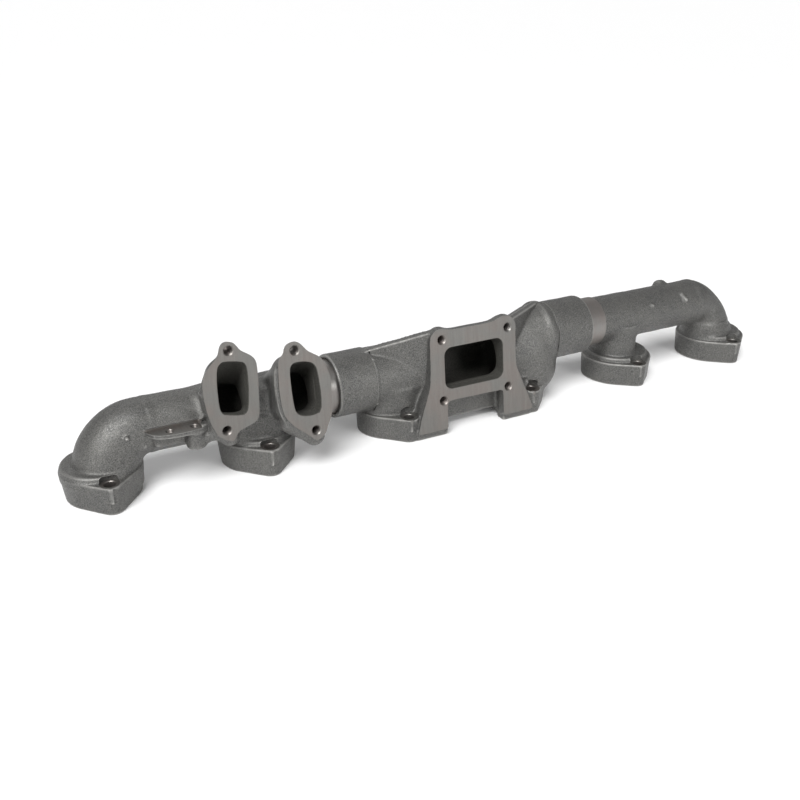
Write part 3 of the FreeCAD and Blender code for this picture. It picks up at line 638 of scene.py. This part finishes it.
TURBO_OUT = [(-56.2, 12), (-56.4, 30), (-55.6, 38.6), (-51.6, 43.6), (-46.6, 46.4), (-40.4, 46.6), (-35.4, 44.6), (-30.4, 43.4), (-13, 43.2),
             (12, 43.2), (24.6, 43.8), (30.6, 46.4), (36.2, 47.6), (42.2, 47.4), (48.4, 44.2), (51.6, 38), (52.4, 28), (52.4, -8),
             (55.2, -18.5), (61.4, -33.4), (67.8, -47), (75.0, -66.2), (73.4, -67.4), (36.6, -67.4), (35.4, -66.0), (35.4, -40), (34.0, -37.4), (30, -36.4), (2, -36),
             (-31, -35.6), (-36.0, -36.6), (-37.4, -40), (-37.6, -66.0), (-38.8, -67.4), (-73.4, -67.4), (-75.0, -66.2), (-69.5, -47), (-62.0, -28.2), (-57.6, -13.6)]


def bolt_cutters(tag, x0):
    h = FLANGE[x0][3]
    return [through("bolt_%s_%d" % (tag, k), x0, k * FL_E, -3, h - 0.7, 5.75, 0.8) for k in (1, -1)]


def spot_cutters(tag, x0, wide=False):
    out = []
    h = FLANGE[x0][3]
    for k in (1, -1):
        if wide:
            pr = [(h - 0.7, 0.0), (h - 0.7, 10.2), (h + 5, 10.2), (h + 8, 7.5), (h + 8.5, 0.0)]
            out.append(lathe("spot_%s_%d" % (tag, k), pr, (x0, k * (FL_E + 1.0), 0), (0, 0, 1), seg=64, mats=[MILL] + [CAST] * 4))
        else:
            pr = [(h - 0.7, 0.0), (h - 0.7, 9.8), (33.4, 9.8), (34.8, 8.0), (35.0, 0.0)]
            out.append(lathe("spot_%s_%d" % (tag, k), pr, (x0, k * (FL_E + 0.5), 0), (0, 0, 1), seg=64, mats=[MILL] + [CAST] * 4))
    return out


def slab(name, x0, x1, y0, y1, z0, z1, mat=MILL):
    p = [(x0, y0, z0), (x1, y0, z0), (x1, y1, z0), (x0, y1, z0), (x0, y0, z1), (x1, y0, z1), (x1, y1, z1), (x0, y1, z1)]
    f = [(0, 3, 2, 1), (4, 5, 6, 7), (0, 1, 5, 4), (1, 2, 6, 5), (2, 3, 7, 6), (3, 0, 4, 7)]
    return make(name, p, f, mat)


def tilted_slab(name, O, Nn, Vv, w0, w1, half=90, mat=MILL):
    """Block lying in front of a machined plane, for facing off."""
    U = np.array([1.0, 0, 0])
    return prism(name, [(-half, -half), (half, -half), (half, half), (-half, half)], O, U, Vv, Nn, w0, w1, mat)


# ================================================================== front section
F = Field((-446, -68, -6), (-174, 60, 164), H)
F.add(*f_elbow(PX[0], 1, ZF))
F.add(*f_cone_z(PX[0] + 3, PX[0] + 6.5, 36.5, FOOT[1], 8, ZF - PIPE_R - IN_R + 0.5), k=3)
F.add(*f_cyl(0, (0, ZF), PIPE_R, PX[0] + FL_R + IN_R, -186.5, 0.6), k=2)
F.add(*f_cyl(2, (PX[1], 0), NECK_R, 0, ZF - 6), k=13)
for x0 in PX[:2]:
    F.add(*f_flange(x0), k=1.5)
    F.add(*f_cyl(2, (x0 - (1.2 if x0 == PX[0] else 0), 0), 37.2 if x0 == PX[0] else 38.2, 20, 35.0, 3.0), k=3.0)
# outlet ducts
F.add(*f_loft_y(-45, 6, (E1_O[0] + 1.5, E1_O[2] - 2, 22.5, 34, 14), (E1_O[0], 62, 23, 24, 14)), k=9)
F.add(*f_loft_y(-50, 6, (E2_O[0] - 2.5, E2_O[2] - 1, 26.5, 34, 17), (E2_O[0] - 8, 62, 22.5, 28, 14)), k=5)
F.add(*f_plate(E1_O, T_U, E1_V, E1_N, E1_OUT, -11, 3, 1.0, grow=-0.42), k=3)
F.add(*f_plate(E2_O, T_U, T_V, T_N, E2_OUT, -10, 3, 1.0, grow=-0.42), k=3)
F.add(*f_plate(E2_O, T_U, T_V, T_N, [(-28.0, 27), (-29.6, 15.3), (-30.0, 1.2), (-29.2, -13.2), (-27.0, -25.0), (-22.4, -34.0), (-15, -42.0), (-8, -48.0),
                                      (-2, -52), (3, -55.0), (11, -56.0), (16, -53), (18.6, -48), (22, -40), (24, -26), (24, 22), (10, 32), (-18, 36)], -16, -3.6, 2.0, grow=-0.05), k=3)
# the lower half of the first outlet stays thick behind its face
F.add(*f_plate(E1_O, T_U, E1_V, E1_N, [(-28.8, 2), (-27.4, -15.6), (-24.8, -28.7), (-21.6, -41.2), (-14.5, -51.8), (-8.6, -54.8), (-2.4, -55.0),
                                      (3.6, -52.2), (6.0, -47.4), (19.4, -42.6), (25, -39.6), (27, -30), (26, 2)], -17, -3.0, 1.8, grow=0.02), k=3)
F.add(*f_capsule(tuple(E1_O + T_U * -15.0 + E1_V * -44.0 - E1_N * 10.0), tuple(E1_O + T_U * -2.0 + E1_V * -54.0 - E1_N * 9.5), 9.0, 9.6), k=3)
for nm, wh, u, v in HOLES:
    O, Vv, Nn = ((E1_O, E1_V, E1_N), (E2_O, T_V, T_N))[wh]
    a = O + T_U * (u + (3.0 if v > 0 else 0.5)) + Vv * (v - (3.5 if v > 0 else -2.0)) - Nn * 9
    F.add(*f_capsule(a, a - Nn * 14 + T_U * 2 - Vv * (6 if v > 0 else -3), 6.8, 6.4), k=7)
# the second outlet's lower ear keeps a round cast rim under its milled face
a = E2_O + T_U * 8.8 + T_V * -53.4 - T_N * 10.6
F.add(*f_capsule(a, a - T_N * 8 + T_V * 5, 10.2, 9.5), k=3)
F.add(*f_capsule(a, E2_O + T_U * -16.0 + T_V * -36.0 - T_N * 12.0, 9.6, 10.0), k=4)
# outlet undersides run down to the second port flange, leaving a deep pocket between them
F.add(*f_plate(np.array([0, -14.0, 0]), T_U, np.array([0, 0, 1.0]), np.array([0, -1.0, 0]),
               [(-300, 76), (-296, 62), (-284, 50), (-270, 38), (-258, 30), (-222, 30), (-206, 40), (-190, 54), (-188, 76)], 0, 14.5, 2.5), k=7)
F.add(*f_box(-258, -224, -33, -6, 66, 91, 3), k=4)
# bracket pad
F.add(*f_plate(np.array([0, 0, 68.0]), T_U, np.array([0, 1.0, 0]), np.array([0, 0, 1.0]),
               [(-363.5, -20), (-361.5, -27), (-349.6, -46.3), (-300, -46.3), (-296, -20)], -4.5, 2, 0.4), k=1.6)
F.add(*f_cyl(2, (-314, -36.5), 9.0, 45, 66, 3.0), k=4)
F.add(*f_box(-352, -298, -33, -20, 50, 65, 4), k=6)
F.add(*f_capsule((-311, -37, 50), (-287, -41, 60), 5.0, 5.5), k=5)
F.add(*f_capsule((-359, -22, 52), (-361, -26.5, 53), 3.2, 2.2), k=4)
F.add(*f_capsule((-376.5, -27, 65), (-377.5, -31.5, 66.5), 3.0, 1.8), k=3)
F.add(*f_capsule((-309, -33, 70), (-304, -40, 80), 2.0, 2.0), k=2)
F.add(*f_capsule((-309, -33, 70), (-300, -36, 66), 2.0, 2.0), k=2)
wobble(F)
p, q = F.mesh()
front = make("front_casting", p, q, CAST)

G = Field((-446, -70, -8), (-172, 40, 160), HI)
G.add(*f_elbow(PX[0], 1, ZF, WALL, 1.2))
G.add(*f_cone_z(PX[0], PX[0] + 6.5, 24, FOOT[1] - WALL - 1.4, 4, ZF - PIPE_R - IN_R + 1.5), k=3)
G.add(*f_cyl(0, (0, ZF), PIPE_R - WALL, PX[0] + FL_R + IN_R - 2, -164), k=2)
G.add(*f_cyl(2, (PX[1], 0), 24, 4, ZF), k=8)
G.add(*f_loft_y(-42, 6, (E1_O[0] + 1.8, E1_O[2] - 1.5, 14.8, 27, 8), (E1_O[0], 64, 16.4, 21, 9)), k=6)
G.add(*f_loft_y(-50, 6, (E2_O[0] + 0.4, E2_O[2] - 1.5, 14.0, 27, 8), (E2_O[0] - 1, 64, 15.4, 21, 9)), k=5)
p, q = G.mesh()
front_duct = make("front_duct_core", p, q, DUCT)
band = lathe("front_spigot", [(0, 22.0), (0, 29.3), (44.3, 29.3), (44.3, 26.3), (53.9, 26.3), (53.9, 29.3), (63.8, 29.3), (64.9, 28.2), (64.9, 23.6), (63.8, 22.5)],
             (-187.4, 0, ZF), (1, 0, 0), TURN, mats=[HOLE] + [TURN] * 9)
boolean(front, band, "UNION")
boolean(front, front_duct)
boolean(front, lathe("front_bore", [(0, 0), (0, 22.2), (60, 22.2), (60, 0)], (-180, 0, ZF), (1, 0, 0), DUCT))
boolean(front, slab("port_plane", -460, -100, -80, 80, -20, 0))
boolean(front, prism("e1_plane", [(-34, -70), (30.6, -70), (30.6, 64), (-34, 64)], E1_O, T_U, E1_V, E1_N, 0, 30))
e2s = prism("e2_plane", [(-31, -70), (34, -70), (34, 64), (-31, 64)], E2_O, T_U, T_V, T_N, 0, 30)
boolean(front, e2s)
boolean(front, slab("pad_plane", -366, -308.6, -60, -28.4, 68, 84))
boolean(front, merge("spots", spot_cutters("f1", PX[0]) + spot_cutters("f2", PX[1])))
holes = bolt_cutters("f1", PX[0]) + bolt_cutters("f2", PX[1])
for x0 in PX[:2]:
    holes.append(lathe("port_mouth", [(-3, 0), (-3, 25.2), (-0.01, 25.2), (1.2, 24), (12, 24), (12, 0)], (x0, 0, 0), (0, 0, 1), DUCT,
                       mats=[MILL, MILL, MILL, DUCT, DUCT, DUCT]))
for nm, wh, u, v in HOLES:
    O, Vv, Nn = ((E1_O, E1_V, E1_N), (E2_O, T_V, T_N))[wh]
    holes.append(bored("%s_hole" % nm, tuple(O + T_U * u + Vv * v), tuple(Nn), 4.25, 20, 1.1, 1.5))
for hx in (-338, -314):
    holes.append(bored("pad_hole", (hx, -36.5, 68), (0, 0, 1), 3.4, 11, 0.8, 1.25))
boolean(front, merge("front_holes", holes))
boolean(front, prism("e1_mouth", smooth_poly(E1_MOUTH, 1), E1_O, T_U, E1_V, E1_N, -8.5, 6, DUCT, 0.6))
boolean(front, prism("e2_mouth", smooth_poly(E2_MOUTH, 1), E2_O, T_U, T_V, T_N, -14, 6, DUCT, 0.6))

# ================================================================== rear section
F = Field((190, -60, -6), (446, 60, 130), H)
F.add(*f_elbow(PX[5], -1, ZR))
F.add(*f_cone_z(PX[5] - 4, PX[5] - 9.5, 36, FOOT[-1], 14, ZR - PIPE_R - IN_R + 0.5), k=5)
F.add(*f_cyl(0, (0, ZR), PIPE_R, 193.2, PX[5] - FL_R - IN_R, 0.6), k=2)
F.add(*f_oval(PX[4] - 7.2, 24.8, 30.0, 0, ZR - 6), k=7)
F.add(*f_oval(384, 26.5, 27, 10, 48), k=6)
for x0 in PX[4:]:
    F.add(*f_flange(x0), k=1.5)
    F.add(*f_cyl(2, (x0 - (2.4 if x0 == PX[5] else 1.0), 0), 38.0, 20, 33.6, 3.0), k=2.6)
F.add(*f_capsule((308.5, 11, 101.2), (312.5, 11, 101.0), 7.4, 7.4), k=3)
F.add(*f_capsule((320, -18.5, 95.5), (322.5, -24.5, 91), 3.6, 3.0), k=2)
F.add(*f_capsule((268, -22.5, 92), (270, -24.0, 91.5), 2.0, 1.6), k=2.5)
wobble(F)
p, q = F.mesh()
rear = make("rear_casting", p, q, CAST)
G = Field((182, -40, -8), (446, 40, 120), HI)
G.add(*f_elbow(PX[5], -1, ZR, WALL))
G.add(*f_cone_z(PX[5], PX[5] - 9.5, 24, FOOT[-1] - WALL, 4, ZR - PIPE_R - IN_R + 1), k=2)
G.add(*f_cyl(0, (0, ZR), PIPE_R - WALL, 186, PX[5] - FL_R - IN_R + 2), k=2)
G.add(*f_cone_z(PX[4], PX[4] - 6.6, 24, 20.6, 4, 40), k=2)
G.add(*f_cyl(2, (PX[4] - 6.6, 0), 20.4, 38, ZR), k=6)
p, q = G.mesh()
rear_duct = make("rear_duct_core", p, q, DUCT)
band = lathe("rear_spigot", [(0, 22.0), (0, 29.3), (-40.7, 29.3), (-40.7, 26.3), (-50.3, 26.3), (-50.3, 29.3), (-60.2, 29.3), (-61.3, 28.2), (-61.3, 23.6), (-60.2, 22.5)],
             (194.3, 0, ZR), (1, 0, 0), TURN)
boolean(rear, band, "UNION")
boolean(rear, rear_duct)
boolean(rear, lathe("rear_bore", [(0, 0), (0, 22.2), (68, 22.2), (68, 0)], (128, 0, ZR), (1, 0, 0), DUCT))
boolean(rear, slab("port_plane", 100, 460, -80, 80, -20, 0))
boolean(rear, merge("spots", spot_cutters("r5", PX[4]) + spot_cutters("r6", PX[5])))
holes = bolt_cutters("r5", PX[4]) + bolt_cutters("r6", PX[5])
for x0 in PX[4:]:
    holes.append(lathe("port_mouth", [(-3, 0), (-3, 25.2), (-0.01, 25.2), (1.2, 24), (12, 24), (12, 0)], (x0, 0, 0), (0, 0, 1), DUCT,
                       mats=[MILL, MILL, MILL, DUCT, DUCT, DUCT]))
boolean(rear, merge("rear_holes", holes))

# ================================================================== centre section
F = Field((-162, -62, -6), (178, 60, 130), H)
F.add(*f_cyl(0, (0, ZF), 33.4, -140, 48, 2))
F.add(*f_capsule((60, 0, 58), (111, 0, 75.0), 33.4, 36.0), k=8)
F.add(*f_cyl(0, (0, ZR), 36.4, 110, 117, 2), k=6)
F.add(*f_cyl(0, (0, ZR), 33.4, 112, 140, 2), k=3)
F.add(*f_oval(PX[2], 39.6, 33.6, 0, ZF - 8), k=6)
F.add(*f_oval(PX[3], 39.0, 33.6, 0, ZR - 14), k=6)
F.add(*f_box(-44, 44, -34, -18, 10.6, 56, 2), k=5)
F.add(*f_box(38, 75, -44, -14, 3, 40, 3), k=3)
F.add(*f_capsule((95, -4, 41), (96, -3, 60), 37.6, 37.0), k=5)
for x0 in PX[2:4]:
    F.add(*f_flange(x0), k=2)
F.add(*f_cyl(0, (0, ZF), 34.6, -157, -112, 1.0), k=0.8)
F.add(*f_cyl(0, (0, ZR), 34.6, 121.5, 172, 1.0), k=0.8)
F.add(*f_loft_y(-44, 6, (-2, 74, 46, 32, 14), (-2, 65, 44, 30, 16)), k=8)
F.add(*f_plate(T_O, T_U, T_V, T_N, TURBO_OUT, -10.5, 3, 1.0), k=2.5)
for s in (1, -1):
    a = T_O + T_U * (42 * s) + T_V * 33.6 - T_N * 8
    F.add(*f_capsule(a, a - T_N * 13 - T_V * 4, 11.5, 10.0), k=5)
    # legs run back to the port flanges
    F.add(*f_plate(np.array([0, -20.0, 0]), T_U, np.array([0, 0, 1.0]), np.array([0, -1.0, 0]),
                   [(36 * s, 0), (75 * s, 0), (74 * s, 14), (58 * s, 60), (38 * s, 62)], 0, 26, 1.5), k=5)
    F.add(*f_box(min(36.5 * s, 74.5 * s), max(36.5 * s, 74.5 * s), -51.5, -38, 0, 12, 1.8), k=3)
# webs from the sleeves up to the flange ears, each with an upright face turned off the row
F.add(*f_cut([((-0.459, -1, 0), (-118, -8, 0)), ((0.459, 1, 0), (-118, 1.5, 0)), ((-0.305, 0, 1), (-118, 0, 97.6)), ((-1, 0, 0), (-121, 0, 0)),
              ((1, 0, 0), (-50, 0, 0)), ((0, 0, -1), (0, 0, 55))], [-121, -50, -42, 4, 55, 120]), k=1.4)
F.add(*f_cut([((0.57, -1, 0), (66, -27.5, 0)), ((-0.57, 1, 0), (66, -18.5, 0)), ((0.0, 0, 1), (50, 0, 114.5)), ((-1, 0, 0), (46, 0, 0)),
              ((1, 0, 0), (112, 0, 0)), ((0, 0, -1), (0, 0, 60))], [46, 112, -44, 12, 60, 118]), k=1.0)
wobble(F)
p, q = F.mesh()
centre = make("centre_casting", p, q, CAST)
G = Field((-130, -60, -8), (144, 40, 120), HI)
G.add(*f_cyl(0, (0, ZF), 27.3, -120, 54))
G.add(*f_capsule((60, 0, 58), (112, 0, 75.6), 27.2, 28.0), k=8)
G.add(*f_cyl(0, (0, ZR), 27.3, 112, 131), k=3)
G.add(*f_cyl(2, (PX[2], 0), 24, 4, ZF), k=8)
G.add(*f_cyl(2, (PX[3], 0), 24, 4, ZR), k=8)
G.add(*f_loft_y(-40, 6, (-1.5, 75.5, 37.3, 23, 9), (-1.5, 65, 39, 22, 12)), k=7)
p, q = G.mesh()
centre_duct = make("centre_duct_core", p, q, DUCT)
boolean(centre, centre_duct)
boolean(centre, merge("step_lines", [lathe("step_line", [(-1.1, 33.2), (-1.1, 36.6), (0.7, 36.6), (0.7, 33.8)], (gx, 0, gz), (1, 0, 0), CAST)
                                     for gx, gz in ((-112.0, ZF), (121.0, ZR))]))
boolean(centre, slab("port_plane", -200, 200, -80, 80, -20, 0))
boolean(centre, prism("turbo_plane", [(-90, -80), (90, -80), (90, 70), (-90, 70)], T_O, T_U, T_V, T_N, 0, 30))
sl = [lathe("front_sleeve_bore", [(-2, 0), (-2, 31.6), (0, 31.6), (1.6, 30), (41, 30), (41, 27), (44, 27), (44, 0)], (-157, 0, ZF), (1, 0, 0), TURN,
            mats=[TURN] * 5 + [DUCT] * 3),
      lathe("rear_sleeve_bore", [(2, 0), (2, 31.6), (0, 31.6), (-1.6, 30), (-45.5, 30), (-45.5, 27), (-49, 27), (-49, 0)], (172, 0, ZR), (1, 0, 0), TURN,
            mats=[TURN] * 5 + [DUCT] * 3)]
boolean(centre, merge("sleeve_bores", sl))
boolean(centre, merge("spots", spot_cutters("c3", PX[2], True) + spot_cutters("c4", PX[3], True)))
holes = bolt_cutters("c3", PX[2]) + bolt_cutters("c4", PX[3])
for x0 in PX[2:4]:
    holes.append(lathe("port_mouth", [(-3, 0), (-3, 25.2), (-0.01, 25.2), (1.2, 24), (12, 24), (12, 0)], (x0, 0, 0), (0, 0, 1), DUCT,
                       mats=[MILL, MILL, MILL, DUCT, DUCT, DUCT]))
for su in (1, -1):
    for sv in (1, -1):
        a = T_O + T_U * (42 * su) + T_V * (34.2 * sv)
        holes.append(bored("turbo_hole", tuple(a), tuple(T_N), 4.25, 20, 1.2, 1.5))
boolean(centre, merge("centre_holes", holes))
boolean(centre, prism("turbo_mouth", round_outline(37.2, 23.1, 9, -1.8, 0.9), T_O, T_U, T_V, T_N, -12, 6, DUCT, 0.5))

for ob, node, body in ((front, "front_section", "front"), (rear, "rear_section", "rear"), (centre, "centre_section", "centre")):
    ob.data.polygons.foreach_set("use_smooth", np.ones(len(ob.data.polygons), bool))
    ob.data.set_sharp_from_angle(angle=math.radians(32))
    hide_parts(node)
    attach(ob, body)
    print("FACES", ob.name, len(ob.data.polygons), sum(len(p.vertices) - 2 for p in ob.data.polygons))

for side in ("front", "rear"):
    for pos in ("inner", "middle", "outer"):
        o = bpy.data.objects.get("%s_seal_ring_%s" % (side, pos))
        if o:
            for sl in o.material_slots:
                sl.material = M_RING
            if not o.material_slots:
                o.data.materials.append(M_RING)

# ------------------------------------------------------------------ floor, light, camera
bm = bmesh.new()
R = 40.0
for vx in ((-R, -R, 0), (R, -R, 0), (R, R, 0), (-R, R, 0)):
    bm.verts.new(vx)
bm.faces.new(bm.verts)
me = bpy.data.meshes.new("floor")
bm.to_mesh(me)
bm.free()
floor = bpy.data.objects.new("floor", me)
bpy.context.scene.collection.objects.link(floor)
mf = bpy.data.materials.new("floor_white")
nt, b = nodes_of(mf)
b.inputs["Base Color"].default_value = (0.92, 0.92, 0.92, 1)
b.inputs["Roughness"].default_value = 0.9
b.inputs["Specular IOR Level"].default_value = 0.1
me.materials.append(mf)

w = bpy.data.worlds.new("studio")
bpy.context.scene.world = w
w.use_nodes = True
bg = w.node_tree.nodes["Background"]
bg.inputs[0].default_value = (1, 1, 1, 1)
bg.inputs[1].default_value = 0.27


def area(name, loc, target, size, power, col=(1, 1, 1)):
    ld = bpy.data.lights.new(name, "AREA")
    ld.shape = "RECTANGLE"
    ld.size, ld.size_y = size
    ld.energy = power
    ld.color = col
    ob = bpy.data.objects.new(name, ld)
    ob.location = loc
    d = Vector(target) - Vector(loc)
    ob.rotation_euler = d.to_track_quat("-Z", "Y").to_euler()
    bpy.context.scene.collection.objects.link(ob)
    return ob


def sun(name, toward, strength, spread):
    ld = bpy.data.lights.new(name, "SUN")
    ld.energy = strength
    ld.angle = math.radians(spread)
    ob = bpy.data.objects.new(name, ld)
    ob.rotation_euler = Vector(toward).to_track_quat("Z", "Y").to_euler()
    bpy.context.scene.collection.objects.link(ob)


sun("key", (-0.42, -0.46, 0.80), 2.9, 32)
sun("back", (0.15, 0.80, 0.75), 0.5, 50)
area("strip", (-1.5, -0.9, 0.75), (-0.15, 0, 0.07), (0.5, 1.2), 8.5)
area("front_card", (0.36, -1.10, 0.50), (-0.06, 0, 0.06), (0.40, 0.35), 4)

cam = bpy.data.cameras.new("camera")
co = bpy.data.objects.new("camera", cam)
bpy.context.scene.collection.objects.link(co)
YAW, PITCH, ROLL = 0.4918, 0.4290, 0.0010
fwd = Vector((math.sin(YAW) * math.cos(PITCH), math.cos(YAW) * math.cos(PITCH), -math.sin(PITCH)))
rgt = Vector((math.cos(YAW), -math.sin(YAW), 0))
up = rgt.cross(fwd)
M = Matrix((rgt, up, -fwd)).transposed().to_4x4()
M.translation = Vector((-0.5273, -0.8545, 0.4712))
co.matrix_world = M
cam.sensor_width = 36
cam.lens = 950.0 / 800 * 36
cam.clip_start = 0.01
bpy.context.scene.camera = co
vs = bpy.context.scene.view_settings
vs.view_transform = "Standard"
vs.look = "None"
vs.exposure = 0.0
